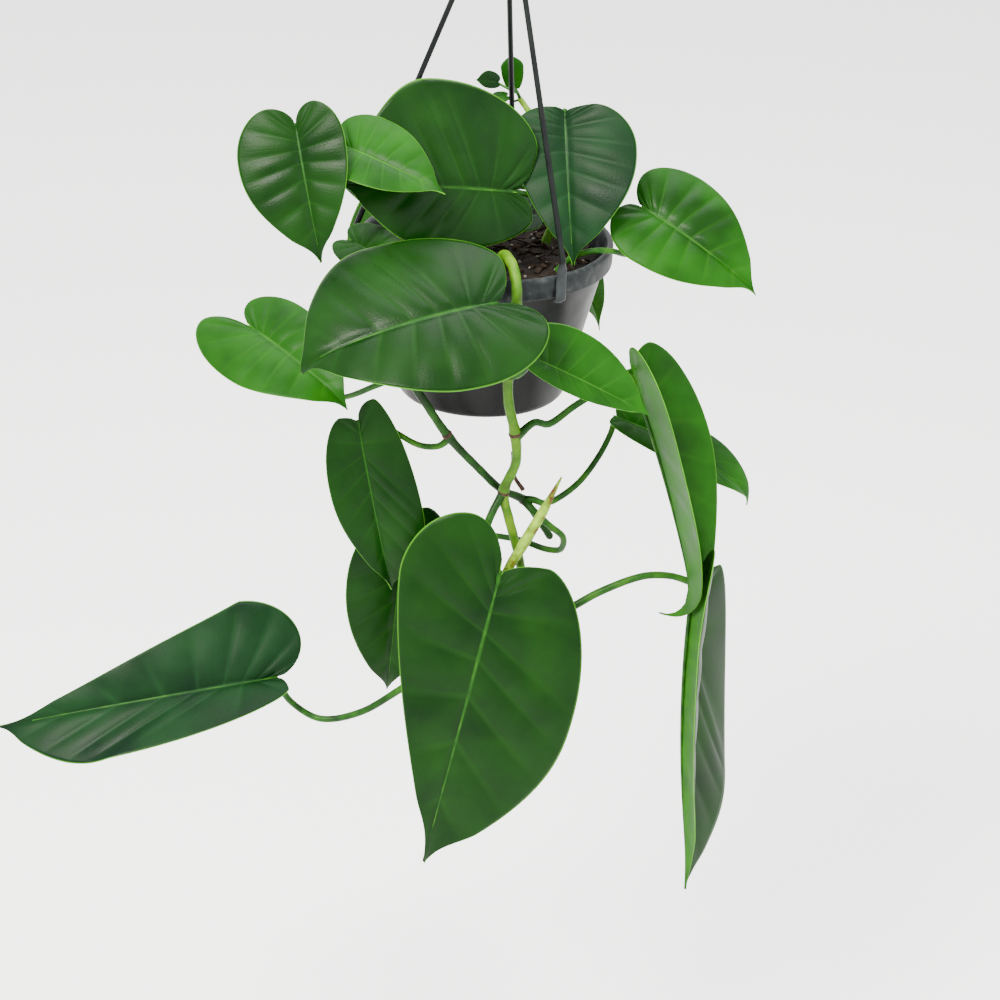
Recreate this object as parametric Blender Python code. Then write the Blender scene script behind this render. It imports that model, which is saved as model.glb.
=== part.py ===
# Heart-leaf philodendron in a hanging pot. Sizes are in millimetres, angles in degrees, +Z is up.
# The origin is the point where the hanger's hook bears on whatever holds it. The front is -Y.
from math import cos, pi, radians, sin

import bmesh
import bpy
from mathutils import Vector

MM = 0.001
GAP = 0.3  # between pieces that touch

# Pot: a turned shell with a stepped rim, below and a little left of the hook
POT_X = -5
RIM_Z = -250
RIM_RADIUS = 70
RIM_BAND = 12
RIM_LIP = 3.5
POT_HEIGHT = 88
BASE_RADIUS = 47
NECK_RADIUS = 65
WALL = 1.8
POT_SIDES = 40
DRAIN_RADIUS = 4
DRAIN_CIRCLE = 30
DRAINS = 5
SOIL_DEPTH = 11  # soil surface below the rim's top

# Hanger: an open hook over a collar that carries three straps clipped on the rim
HOOK_ROD = 1.8
HOOK_INSIDE = 9
COLLAR_RADIUS = 8
COLLAR_TOP = -50
COLLAR_BOTTOM = -59
STRAP_ROD = 1.5
CLIP_HALF_WIDTH = 3.2
CLIP_HALF_THICKNESS = 1.0
STRAPS = {"strap_front": 34.5, "strap_left": -77, "strap_back": 168}  # degrees from the front, to the right

# Leaves: each blade is a heart on a grid, bent about its midrib
BLADE_THICKNESS = 0.8
BLADE_ROWS = 10
BLADE_COLUMNS = 4
YOUNG_THICKNESS = 0.5
YOUNG_ROWS = 6
SPINE_STEPS = 24

# Half of a heart leaf: out of the notch round a lobe, on to the widest point, then a taper to the tip
LOBE_END = 0.42  # where a lobe reaches farthest back, as a share of the half width
LOBE_SHARE = 0.2  # share of the rows that goes round the lobe, and up to the widest point
WIDEST_SHARE = 0.45
TIP_WIDTH = 0.04  # least half width, at the notch and at the tip, as a share

GREEN = (0.06, 0.24, 0.02)
YELLOW_GREEN = (0.22, 0.45, 0.03)
BLACK = (0.012, 0.012, 0.013)
BROWN = (0.05, 0.03, 0.018)

# base = where the petiole joins, tip = drip tip, face = the way the upper side looks.
# Pairs are for the left and the right half, seen from above with the tip pointing away:
# halves = half widths, lobes = how far the lobes reach behind the base, folds = how far each half lifts,
# curls = how far it turns back down, wide = share of the length where it is widest,
# taper = fullness from there to the tip, opens = extra fold at the base that is gone at the tip.
# arch = bend along the midrib, hook = extra bend at the tip
LEAVES = {
    "leaf_top_left": dict(
        base=(-104, -49, -176), tip=(-89, -73, -241), face=(-0.1, -1, 0.45), arch=14, hook=20,
        halves=(25, 33), lobes=(11, 11), folds=(14, 14), curls=(10, 24), wide=(0.15, 0.2),
    ),
    "leaf_top_left_small": dict(
        base=(-79, -46, -186), tip=(-26, -68, -203), face=(-0.1, -0.75, 1), arch=10, hook=10,
        halves=(24, 18), lobes=(8, 7), folds=(6, 6), curls=(14, 10), wide=(0.15, 0.2),
    ),
    "leaf_top_centre": dict(
        base=(7, -23, -216), tip=(-83, -40, -209), face=(-0.08, -1, 0.5), arch=20, hook=6,
        halves=(33, 57), lobes=(14, 14), folds=(4, 12), curls=(20, 20), wide=(0.4, 0.45),
        taper=(2.2, 2.5),
    ),
    "leaf_top_right": dict(
        base=(35, 5, -180), tip=(42, -36, -252), face=(-0.2, -1, 0.55), arch=14, hook=8,
        halves=(38, 28), lobes=(2, 3), folds=(10, 14), curls=(20, 16), wide=(0.28, 0.12),
    ),
    "leaf_far_right": dict(
        base=(80, -11, -227), tip=(141, -34, -266), face=(0.1, -0.8, 0.8), arch=22, hook=30,
        halves=(34, 31), lobes=(12, 11), folds=(16, 16), curls=(36, 32), wide=(0.2, 0.15),
        taper=(1.8, 2.2),
    ),
    "leaf_front_upper": dict(
        base=(0, -97, -250), tip=(-97, -112, -286), face=(-0.15, -0.7, 1), arch=30, hook=40,
        halves=(47, 57), lobes=(23, 12), folds=(8, 8), curls=(24, 30), wide=(0.15, 0.42),
        taper=(2.2, 3.2),
    ),
    "leaf_left": dict(
        base=(-130, -28, -296), tip=(-75, -70, -325), face=(-0.2, -0.6, 1), arch=26, hook=50,
        halves=(28, 29), lobes=(15, 26), folds=(14, 14), curls=(26, 26), wide=(0.2, 0.15),
    ),
    "leaf_right_front": dict(
        base=(22, -92, -282), tip=(84, -92, -313), face=(0.1, -0.8, 0.7), arch=12, hook=10,
        halves=(24, 10), lobes=(10, 6), folds=(10, 10), curls=(16, 16), wide=(0.25, 0.3),
    ),
    "leaf_back_right": dict(
        base=(34, 78, -262), tip=(64, 66, -330), face=(0.5, 1, 0.5), arch=12, hook=16,
        halves=(27, 18), lobes=(13, 10), folds=(12, 12), curls=(24, 24), wide=(0.15, 0.2),
    ),
    "leaf_back_left": dict(
        base=(-48, 80, -258), tip=(-72, 84, -330), face=(-0.4, 1, 0.4), arch=16, hook=18,
        halves=(32, 32), lobes=(15, 15), folds=(12, 12), curls=(22, 22), wide=(0.15, 0.15),
    ),
    "leaf_right_folded": dict(
        base=(78, -35, -313), tip=(113, -37, -438), face=(0.88, -0.47, 0.2), arch=6, hook=76,
        halves=(35, 36), lobes=(13, 17), folds=(56, 50), curls=(20, 6), wide=(0.25, 0.15),
    ),
    "leaf_right_behind": dict(
        base=(72, -14, -349), tip=(149, -9, -404), face=(0.2, -0.5, 1), arch=30, hook=50,
        halves=(18, 14), lobes=(3, 4), folds=(20, 12), curls=(30, 26), wide=(0.5, 0.35),
    ),
    "leaf_lowest_right": dict(
        base=(120, -46, -436), tip=(126, -60, -634), face=(1, -0.12, 0.1), arch=-14, hook=10,
        halves=(40, 34), lobes=(8, 27), folds=(42, 40), curls=(14, 60), wide=(0.62, 0.15),
    ),
    "leaf_front_lower": dict(
        base=(8, -82, -417), tip=(-30, -97, -595), face=(0.0, -1, 0.35), arch=12, hook=6,
        halves=(60, 48), lobes=(12, 32), folds=(6, 6), curls=(18, 14), wide=(0.38, 0.04),
        taper=(2.4, 1.6),
    ),
    "leaf_mid_left": dict(
        base=(-71, -52, -341), tip=(-51, -62, -437), face=(-0.15, -1, 0.3), arch=12, hook=12,
        halves=(27, 22), lobes=(13, 5), folds=(12, 22), curls=(20, 16), wide=(0.55, 0.3),
    ),
    "leaf_mid_left_behind": dict(
        base=(-47, -19, -423), tip=(-55, -22, -526), face=(0.1, -1, 0.25), arch=14, hook=24,
        halves=(30, 30), lobes=(16, 6), folds=(14, 14), curls=(30, 24), wide=(0.2, 0.3),
    ),
    "leaf_far_left": dict(
        base=(-119, -47, -505), tip=(-276, -66, -532), face=(0.1, -0.85, 0.6), arch=26, hook=10,
        halves=(33, 48), lobes=(6, 19), folds=(14, 14), curls=(20, 34), wide=(0.6, 0.08),
        taper=(2.2, 0.9), opens=(70, 0),
    ),
    "leaf_crown_left": dict(
        base=(-75, -36, -242), tip=(-38, -66, -254), face=(-0.1, -0.6, 1), arch=14, hook=10,
        halves=(16, 15), lobes=(9, 8), folds=(10, 10), curls=(16, 16), wide=(0.2, 0.2),
    ),
    "leaf_crown_shaded": dict(
        base=(14, 4, -237), tip=(-36, -10, -240), face=(0, -0.4, 1), arch=16, hook=10,
        halves=(18, 18), lobes=(10, 10), folds=(10, 10), curls=(16, 16), wide=(0.2, 0.2),
    ),
    "young_leaf_round": dict(
        base=(8, 63, -184), tip=(6, 65, -167), face=(0.1, -1, 0.3), arch=10, hook=6,
        halves=(6.5, 6.5), lobes=(2, 2), folds=(14, 14), curls=(20, 20), wide=(0.6, 0.6),
    ),
    "young_leaf_dark": dict(
        base=(-1, 58, -181), tip=(-13, 55, -179), face=(-0.2, -1, 0.6), arch=10, hook=6,
        halves=(4, 6), lobes=(1.5, 1.5), folds=(14, 14), curls=(16, 16), wide=(0.4, 0.4),
    ),
    "young_leaf_light": dict(
        base=(4, 56, -188), tip=(-5, 51, -189), face=(-0.2, -0.8, 1), arch=10, hook=6,
        halves=(4, 4), lobes=(2, 2), folds=(14, 14), curls=(16, 16), wide=(0.4, 0.4),
    ),
}

# Routes of stems and petioles, with the radius at the start and at the end
VINES = {
    "vine_main": dict(
        route=[
            (2, -32, -258), (5, -50, -242), (10, -70, -242), (12, -77.5, -252), (11, -77, -273),
            (9, -73, -298), (10, -70, -318), (14, -67, -337), (15, -65, -355), (9, -63, -374),
            (12, -62, -389), (18, -60, -412), (24, -56, -444), (27, -54, -461),
        ],
        radius=(2.9, 2.5),
    ),
    "vine_left": dict(
        route=[
            (-18, -36, -258), (-23, -52, -243), (-30, -70, -243), (-36, -75, -262), (-42, -71, -283),
            (-42, -65, -308), (-35, -62, -322), (-21, -60, -344), (-4, -57, -364), (8, -54, -377),
            (20, -47, -386), (29, -44, -399), (36, -42, -411),
        ],
        radius=(2.5, 2.1),
    ),
    "vine_crown_left": dict(
        route=[(-34, 8, -258), (-38, 0, -248), (-46, -14, -240), (-54, -24, -236)],
        radius=(2.6, 2.0),
    ),
    "vine_crown_right": dict(
        route=[(28, 14, -258), (32, 18, -246), (30, 28, -230), (25, 40, -210), (18, 51, -197), (12, 57, -190)],
        radius=(2.6, 1.6),
    ),
    "vine_back": dict(
        route=[(6, 36, -258), (4, 52, -243), (2, 70, -240), (0, 78, -254), (-2, 78, -282), (-4, 78, -300)],
        radius=(2.6, 2.2),
    ),
}

# A petiole leaves its vine, short of the vine's middle by clear, and ends just under its blade's base
PETIOLES = {
    "petiole_top_left": dict(
        route=[(-54, -24, -236), (-66, -31, -225), (-84, -36, -206), (-98, -39, -188)],
        radius=(1.6, 1.3), clear=3.0,
    ),
    "petiole_top_left_small": dict(
        route=[(-46, -14, -240), (-52, -8, -222), (-66, -12, -204), (-80, -24, -192), (-85, -38, -188)],
        radius=(1.5, 1.2), clear=4.5,
    ),
    "petiole_top_centre": dict(
        route=[(32, 18, -246), (40, 6, -237), (34, -8, -228), (22, -14, -222), (14, -17, -219)],
        radius=(1.8, 1.5), clear=4.5,
    ),
    "petiole_top_right": dict(
        route=[(30, 28, -230), (36, 26, -214), (39, 20, -196), (37, 11, -185)],
        radius=(1.7, 1.4), clear=4.5,
    ),
    "petiole_far_right": dict(
        route=[
            (34, -26, -259), (42, -28, -250), (52, -29, -246), (62, -28, -246), (72, -19, -251),
            (80, -9, -250), (83, -5, -240),
        ],
        radius=(1.7, 1.4), clear=0.5,
    ),
    "petiole_front_upper": dict(
        route=[(11, -76, -276), (10, -86, -272), (6, -93, -264)],
        radius=(2.0, 1.7), clear=5.0,
    ),
    "petiole_left": dict(
        route=[(-42, -67, -302), (-60, -60, -314), (-84, -42, -330), (-110, -24, -326), (-126, -20, -308)],
        radius=(1.7, 1.4), clear=4.5,
    ),
    "petiole_right_front": dict(
        route=[(9, -72, -302), (14, -79, -298), (18, -84, -292)],
        radius=(1.6, 1.4), clear=4.5,
    ),
    "petiole_back_right": dict(
        route=[(0, 78, -256), (12, 78, -248), (28, 72, -250), (38, 72, -256)],
        radius=(1.6, 1.3), clear=4.5,
    ),
    "petiole_back_left": dict(
        route=[(-1, 78, -268), (-14, 80, -256), (-32, 74, -252), (-44, 74, -254)],
        radius=(1.7, 1.4), clear=4.5,
    ),
    "petiole_right_folded": dict(
        route=[
            (15, -67, -339), (24, -65, -331), (32, -62, -333), (45, -52, -327), (60, -43, -320),
            (70, -37, -315),
        ],
        radius=(2.1, 1.7), clear=5.0,
    ),
    "petiole_right_behind": dict(
        route=[
            (20, -47, -386), (26, -49, -385), (32, -47, -388), (41, -40, -387), (52, -33, -380),
            (62, -25, -368), (68, -19, -357),
        ],
        radius=(1.9, 1.6), clear=6.5,
    ),
    "petiole_lowest_right": dict(
        route=[
            (27, -54, -461), (46, -53, -452), (65, -50, -441), (88, -47, -432), (104, -45, -432),
        ],
        radius=(2.4, 1.9), clear=5.5,
    ),
    "petiole_front_lower": dict(
        route=[(9, -63, -374), (3, -69, -384), (0, -73, -394), (3, -75, -406)],
        radius=(2.3, 2.0), clear=6.5,
    ),
    "petiole_mid_left": dict(
        route=[
            (-23, -60, -341), (-21, -68, -349), (-26, -67, -354), (-38, -58, -350), (-52, -50, -345),
            (-64, -48, -341),
        ],
        radius=(1.8, 1.5), clear=5.5,
    ),
    "petiole_mid_left_behind": dict(
        route=[
            (20, -47, -386), (27, -53, -391), (35, -52, -399), (43, -48, -408), (42, -42, -419),
            (34, -38, -421), (20, -34, -418), (4, -27, -419), (-12, -15, -422), (-34, -10, -424),
        ],
        radius=(2.0, 1.5), clear=7.0,
    ),
    "petiole_far_left": dict(
        route=[
            (27, -54, -461), (2, -52, -472), (-24, -51, -490), (-47, -50, -509), (-69, -49, -525),
            (-92, -46, -532), (-109, -42, -524),
        ],
        radius=(2.4, 1.8), clear=5.5,
    ),
    "petiole_crown_left": dict(
        route=[(-46, -14, -240), (-54, -22, -245), (-66, -30, -246)],
        radius=(1.3, 1.1), clear=4.5,
    ),
    "petiole_crown_shaded": dict(
        route=[(32, 18, -246), (26, 12, -244), (20, 7, -242)],
        radius=(1.3, 1.1), clear=4.5,
    ),
    "petiole_young_round": dict(
        route=[(12, 57, -190), (10, 62, -187)],
        radius=(1.0, 0.8), clear=2.0,
    ),
    "petiole_young_dark": dict(
        route=[(12, 57, -190), (10, 56, -186), (5, 57, -184)],
        radius=(0.8, 0.7), clear=2.6,
    ),
    "petiole_young_light": dict(
        route=[(12, 57, -190), (9, 57, -191)],
        radius=(0.7, 0.6), clear=2.2,
    ),
}

# A leaf still rolled in its sheath, and an aerial root
SPIKE = dict(route=[(11, -73, -420), (19, -72, -404), (32, -69, -379), (40, -67, -362)], radius=(3.0, 0.6))
AERIAL_ROOT = dict(route=[(20, -43, -382), (15, -43, -374), (13, -43, -359)], radius=(1.3, 0.8))


def clear_scene():
    for thing in list(bpy.data.objects):
        bpy.data.objects.remove(thing, do_unlink=True)


def material(name, color, roughness, metallic=0.0):
    made = bpy.data.materials.new(name)
    made.use_nodes = True
    shader = made.node_tree.nodes["Principled BSDF"]
    shader.inputs["Base Color"].default_value = (*color, 1)
    shader.inputs["Roughness"].default_value = roughness
    shader.inputs["Metallic"].default_value = metallic
    return made


def add_object(name, data, finish):
    thing = bpy.data.objects.new(name, data)
    bpy.context.scene.collection.objects.link(thing)
    data.materials.append(finish)
    return thing


def add_mesh(name, bm, finish):
    """Turn a bmesh drawn in millimetres into a smooth-shaded object in metres."""
    bmesh.ops.recalc_face_normals(bm, faces=bm.faces[:])
    bmesh.ops.scale(bm, vec=(MM, MM, MM), verts=bm.verts[:])
    mesh = bpy.data.meshes.new(name)
    bm.to_mesh(mesh)
    bm.free()
    mesh.shade_smooth()
    mesh.set_sharp_from_angle(angle=radians(40))
    return add_object(name, mesh, finish)


def smooth_route(points, step):
    """Points about one step apart on a smooth curve through the given points."""
    knots = [Vector(p) for p in points]
    times = [0.0]
    for before, after in zip(knots, knots[1:]):
        times.append(times[-1] + (after - before).length)
    slopes = []
    for i in range(len(knots)):
        low = max(i - 1, 0)
        high = min(i + 1, len(knots) - 1)
        slopes.append((knots[high] - knots[low]) / (times[high] - times[low]))
    route = [knots[0]]
    for i in range(len(knots) - 1):
        span = times[i + 1] - times[i]
        parts = max(1, round(span / step))
        for part in range(1, parts + 1):
            t = part / parts
            start = (1 + 2 * t) * (1 - t) ** 2 * knots[i] + t * (1 - t) ** 2 * span * slopes[i]
            end = t * t * (3 - 2 * t) * knots[i + 1] - t * t * (1 - t) * span * slopes[i + 1]
            route.append(start + end)
    return route


def trim(route, length):
    """Take a length off the start of a route."""
    route = route[:]
    while (route[1] - route[0]).length < length:
        length -= (route[1] - route[0]).length
        route.pop(0)
    route[0] = route[0] + (route[1] - route[0]).normalized() * length
    if (route[1] - route[0]).length < 1 and len(route) > 2:
        route.pop(1)
    return route


def under_base(leaf, radius):
    """Where a petiole of this radius ends: just under the blade, a little behind its base."""
    base = Vector(leaf["base"])
    ahead = (Vector(leaf["tip"]) - base).normalized()
    face = Vector(leaf["face"])
    up = (face - face.dot(ahead) * ahead).normalized()
    return base - up * (radius + BLADE_THICKNESS + GAP) - ahead


def round_stem(name, route, radius, finish, resolution=1):
    """A tapering round rod along a route, as a bevelled curve with closed ends."""
    curve = bpy.data.curves.new(name, "CURVE")
    curve.dimensions = "3D"
    curve.bevel_depth = MM
    curve.bevel_resolution = resolution
    curve.use_fill_caps = True
    line = curve.splines.new("POLY")
    line.points.add(len(route) - 1)
    for i, place in enumerate(route):
        share = i / (len(route) - 1)
        line.points[i].co = (*(place * MM), 1)
        line.points[i].radius = radius[0] + (radius[1] - radius[0]) * share
    return add_object(name, curve, finish)


def sweep(name, stations, side, finish, sides=8):
    """Extrude a ring through stations of (place, half width along side, half thickness)."""
    bm = bmesh.new()
    ring = bmesh.ops.create_circle(bm, cap_ends=True, radius=1, segments=sides)["verts"]
    angles = [2 * pi * i / sides for i in range(sides)]
    face = bm.faces[:][0]
    order = [v for v in face.verts]
    for i, (place, wide, thick) in enumerate(stations):
        if i:
            faces = bmesh.ops.extrude_discrete_faces(bm, faces=[face])["faces"]
            face = faces[0]
            order = [v for v in face.verts]
        before = stations[max(i - 1, 0)][0]
        after = stations[min(i + 1, len(stations) - 1)][0]
        ahead = (after - before).normalized()
        across = (side - side.dot(ahead) * ahead).normalized()
        up = across.cross(ahead)
        for vert, angle in zip(order, angles):
            vert.co = place + across * wide * cos(angle) + up * thick * sin(angle)
    bmesh.ops.holes_fill(bm, edges=[e for e in bm.edges if e.is_boundary])
    return add_mesh(name, bm, finish)


def heart_edge(leaf, side, share, length):
    """Half width and place along the midrib of one half's edge, from the notch at 0 to the tip at 1."""
    half = leaf["halves"][side]
    lobe = leaf["lobes"][side]
    widest = leaf["wide"][side] * length
    if share < LOBE_SHARE:
        run = share / LOBE_SHARE
        out = LOBE_END * run
        along = -lobe * (0.25 + 0.75 * sin(run * pi / 2))
    elif share < WIDEST_SHARE:
        turn = (share - LOBE_SHARE) / (WIDEST_SHARE - LOBE_SHARE) * pi / 2
        slim = 1 + leaf["wide"][side]
        out = LOBE_END + (1 - LOBE_END) * sin(turn) ** slim
        along = widest - (widest + lobe) * cos(turn)
    else:
        run = (share - WIDEST_SHARE) / (1 - WIDEST_SHARE)
        fullness = leaf.get("taper", (2.2, 2.2))[side]
        out = (1 - run**fullness) * (1 - 0.45 * run**3)
        along = widest + (length - widest) * run
    return half * max(out, TIP_WIDTH), along


def spine_points(leaf, length):
    """The midrib's side view from base to tip: place along the chord, height and slope."""
    arch = radians(leaf["arch"])
    hook = radians(leaf["hook"])
    places = [(0.0, 0.0)]
    slopes = []
    for i in range(SPINE_STEPS + 1):
        share = i / SPINE_STEPS
        slopes.append(arch * (0.5 - share) - hook * max(0.0, share - 0.7) ** 2 / 0.09)
        if i:
            slope = (slopes[i] + slopes[i - 1]) / 2
            along, height = places[-1]
            places.append((along + cos(slope) / SPINE_STEPS, height + sin(slope) / SPINE_STEPS))
    end = Vector(places[-1])
    size = length / end.length
    lean = Vector((1, 0)).angle_signed(end)
    turned = []
    for (along, height), slope in zip(places, slopes):
        x = (along * end.x + height * end.y) / end.length * size
        z = (height * end.x - along * end.y) / end.length * size
        turned.append((x, z, slope + lean))
    return turned


def spine_at(spine, share, length):
    """Place, height and slope on the midrib at a share of its length; straight on behind the base."""
    if share <= 0:
        x, z, slope = spine[0]
        return x + share * length * cos(slope), z + share * length * sin(slope), slope
    place = min(share, 1) * SPINE_STEPS
    i = min(int(place), SPINE_STEPS - 1)
    t = place - i
    return tuple(a + (b - a) * t for a, b in zip(spine[i], spine[i + 1]))


def blade_point(leaf, u, v):
    """Where the blade is at u across (-1 to 1) and v along (notch 0, tip 1), in millimetres."""
    base = Vector(leaf["base"])
    chord = Vector(leaf["tip"]) - base
    length = chord.length
    ahead = chord.normalized()
    face = Vector(leaf["face"])
    up = (face - face.dot(ahead) * ahead).normalized()
    right = ahead.cross(up)
    side = 0 if u < 0 else 1
    out_edge, along_edge = heart_edge(leaf, side, v, length)
    midrib = (0.25 * v + 0.75 * v**3) * length
    reach = abs(u)
    along = midrib + (along_edge - midrib) * reach
    x, z, slope = spine_at(leaf["spine"], along / length, length)
    half = leaf["halves"][side]
    opens = leaf.get("opens", (0, 0))[side]
    fold = radians(leaf["folds"][side] + opens * (1 - v) ** 2)
    curl = radians(leaf["curls"][side])
    out = reach * out_edge / half
    across = half * (sin(fold) - sin(fold - curl * out)) / curl
    lift = half * (cos(fold - curl * out) - cos(fold)) / curl
    place = base + ahead * (x - lift * sin(slope)) + up * (z + lift * cos(slope))
    return place + right * (across if side else -across)


def blade(name, leaf, finish):
    """A heart-shaped blade: a grid laid on the bent heart, then given its thickness."""
    length = (Vector(leaf["tip"]) - Vector(leaf["base"])).length
    leaf["spine"] = spine_points(leaf, length)
    bm = bmesh.new()
    young = name.startswith("young")
    rows = YOUNG_ROWS if young else BLADE_ROWS
    bmesh.ops.create_grid(bm, x_segments=BLADE_COLUMNS, y_segments=rows, size=1)
    for vert in bm.verts:
        vert.co = blade_point(leaf, vert.co.x, (vert.co.y + 1) / 2)
    bmesh.ops.triangulate(bm, faces=bm.faces[:])
    thing = add_mesh(name, bm, finish)
    wall = thing.modifiers.new("thickness", "SOLIDIFY")
    wall.thickness = (YOUNG_THICKNESS if young else BLADE_THICKNESS) * MM
    wall.offset = 0
    return thing


def turned(name, profile, center, finish, sides):
    """Spin a closed profile of (radius, height) about the vertical line through center."""
    bm = bmesh.new()
    verts = [bm.verts.new((center.x + r, center.y, z)) for r, z in profile]
    edges = [bm.edges.new(pair) for pair in zip(verts, verts[1:])]
    bmesh.ops.spin(
        bm, geom=verts + edges, cent=center, axis=(0, 0, 1), angle=2 * pi, steps=sides, use_merge=True
    )
    bmesh.ops.remove_doubles(bm, verts=bm.verts[:], dist=0.001)
    bmesh.ops.dissolve_degenerate(bm, edges=bm.edges[:], dist=0.0001)
    return add_mesh(name, bm, finish)


def pot(finish):
    """A tapering bucket with a rounded foot, a stepped rim and drain holes through its floor."""
    z = RIM_Z
    floor = z - POT_HEIGHT
    profile = [
        (0, floor), (BASE_RADIUS - 3, floor), (BASE_RADIUS - 0.8, floor + 1), (BASE_RADIUS, floor + 3.5),
        (NECK_RADIUS, z - RIM_BAND - 2), (RIM_RADIUS - 2, z - RIM_BAND), (RIM_RADIUS - 0.4, z - RIM_BAND),
        (RIM_RADIUS, z - 1), (RIM_RADIUS - 0.8, z), (RIM_RADIUS - RIM_LIP, z),
        (RIM_RADIUS - RIM_LIP - 0.6, z - 1.2), (NECK_RADIUS - WALL, z - RIM_BAND - 2),
        (BASE_RADIUS - WALL, floor + 4), (BASE_RADIUS - 5, floor + WALL), (0, floor + WALL),
    ]
    shell = turned("pot", profile, Vector((POT_X, 0, 0)), finish, POT_SIDES)
    for i in range(DRAINS):
        angle = 2 * pi * i / DRAINS
        bm = bmesh.new()
        bmesh.ops.create_cone(
            bm, cap_ends=True, segments=12, radius1=DRAIN_RADIUS, radius2=DRAIN_RADIUS, depth=10
        )
        place = Vector((POT_X + DRAIN_CIRCLE * sin(angle), DRAIN_CIRCLE * cos(angle), floor))
        bmesh.ops.translate(bm, vec=place, verts=bm.verts[:])
        cutter = add_mesh(f"drain_cutter_{i}", bm, finish)
        cutter.hide_render = True
        cutter.display_type = "WIRE"
        cut = shell.modifiers.new(f"drain_{i}", "BOOLEAN")
        cut.operation = "DIFFERENCE"
        cut.solver = "EXACT"
        cut.object = cutter


def soil(finish):
    """The potting mix: a plug that follows the pot's inside, domed a little at the top."""
    top = RIM_Z - SOIL_DEPTH
    floor = RIM_Z - POT_HEIGHT + WALL + GAP
    taper = (NECK_RADIUS - BASE_RADIUS) / (POT_HEIGHT - RIM_BAND - 5.5)
    edge = NECK_RADIUS - WALL - 1.5
    low_edge = edge - taper * (top - floor)
    profile = [(0, floor), (low_edge - 3, floor), (edge, top - 2), (edge * 0.8, top - 0.5), (0, top)]
    turned("soil", profile, Vector((POT_X, 0, 0)), finish, 32)


def hook(finish):
    """The hook: a shank up from the collar that swings out and over in an open arc."""
    ring = HOOK_INSIDE + HOOK_ROD
    points = [(0, 0, COLLAR_TOP - 4), (0, 0, COLLAR_TOP + 4), (6, 0, -23)]
    for degrees in range(-10, 211, 20):
        angle = radians(degrees)
        points.append((ring * cos(angle), 0, ring * sin(angle) - HOOK_INSIDE))
    rod = [(p, HOOK_ROD, HOOK_ROD) for p in smooth_route(points, 5)]
    collar = [(COLLAR_BOTTOM, 5.5), (COLLAR_BOTTOM + 1, COLLAR_RADIUS), (COLLAR_TOP - 3, COLLAR_RADIUS)]
    stations = [(Vector((0, 0, z)), r, r) for z, r in collar]
    stations.append((Vector((0, 0, COLLAR_TOP)), 3.2, 3.2))
    sweep("hanger_hook", stations + rod[2:], Vector((0, 1, 0)), finish, sides=12)


def strap(name, degrees, finish):
    """A strap: a thin rod from the collar, flattening into a clip that hooks under the rim's band."""
    angle = radians(degrees)
    outward = Vector((sin(angle), -cos(angle), 0))
    side = Vector((cos(angle), sin(angle), 0))
    center = Vector((POT_X, 0, RIM_Z))
    clip_radius = RIM_RADIUS + GAP + CLIP_HALF_THICKNESS
    top = center + outward * (clip_radius + 0.4) + Vector((0, 0, 9))
    start = outward * 2.4 + Vector((0, 0, COLLAR_BOTTOM - GAP - 1.5))
    rod = [(start.lerp(top, i / 8), STRAP_ROD, STRAP_ROD) for i in range(8)]
    clip = [
        (clip_radius + 0.3, 6, 2.6), (clip_radius, 3, CLIP_HALF_WIDTH), (clip_radius, -6, CLIP_HALF_WIDTH),
        (clip_radius, -RIM_BAND - 0.5, CLIP_HALF_WIDTH), (clip_radius - 1, -RIM_BAND - 1.8, CLIP_HALF_WIDTH),
        (clip_radius - 3.2, -RIM_BAND - 1.8, CLIP_HALF_WIDTH),
    ]
    stations = rod + [(top, 1.7, STRAP_ROD)]
    for radius, height, wide in clip:
        place = center + outward * radius + Vector((0, 0, height))
        stations.append((place, wide, CLIP_HALF_THICKNESS))
    sweep(name, stations, side, finish)


def build():
    clear_scene()
    black = material("black_plastic", BLACK, 0.45)
    mix = material("potting_mix", BROWN, 0.95)
    leaf_green = material("leaf_green", GREEN, 0.35)
    stem_green = material("stem_green", YELLOW_GREEN, 0.4)
    bark = material("aerial_root_brown", BROWN, 0.7)
    pot(black)
    soil(mix)
    hook(black)
    for name, degrees in STRAPS.items():
        strap(name, degrees, black)
    for name, vine in VINES.items():
        round_stem(name, smooth_route(vine["route"], 9), vine["radius"], stem_green, resolution=2)
    for name, petiole in PETIOLES.items():
        leaf = LEAVES[name.replace("petiole_young", "young_leaf").replace("petiole", "leaf")]
        points = petiole["route"] + [under_base(leaf, petiole["radius"][1])]
        round_stem(name, trim(smooth_route(points, 8), petiole["clear"]), petiole["radius"], stem_green)
    for name, leaf in LEAVES.items():
        blade(name, leaf, leaf_green)
    round_stem("rolled_leaf", smooth_route(SPIKE["route"], 12), SPIKE["radius"], stem_green)
    round_stem("aerial_root", smooth_route(AERIAL_ROOT["route"], 8), AERIAL_ROOT["radius"], bark)


build()
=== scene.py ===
# A heart-leaf philodendron hanging in a black nursery pot. Sizes are in millimetres, angles in degrees.
import random
from math import cos, exp, pi, radians, sin, tau

import bmesh
import bpy
from mathutils import Matrix, Vector, noise


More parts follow.
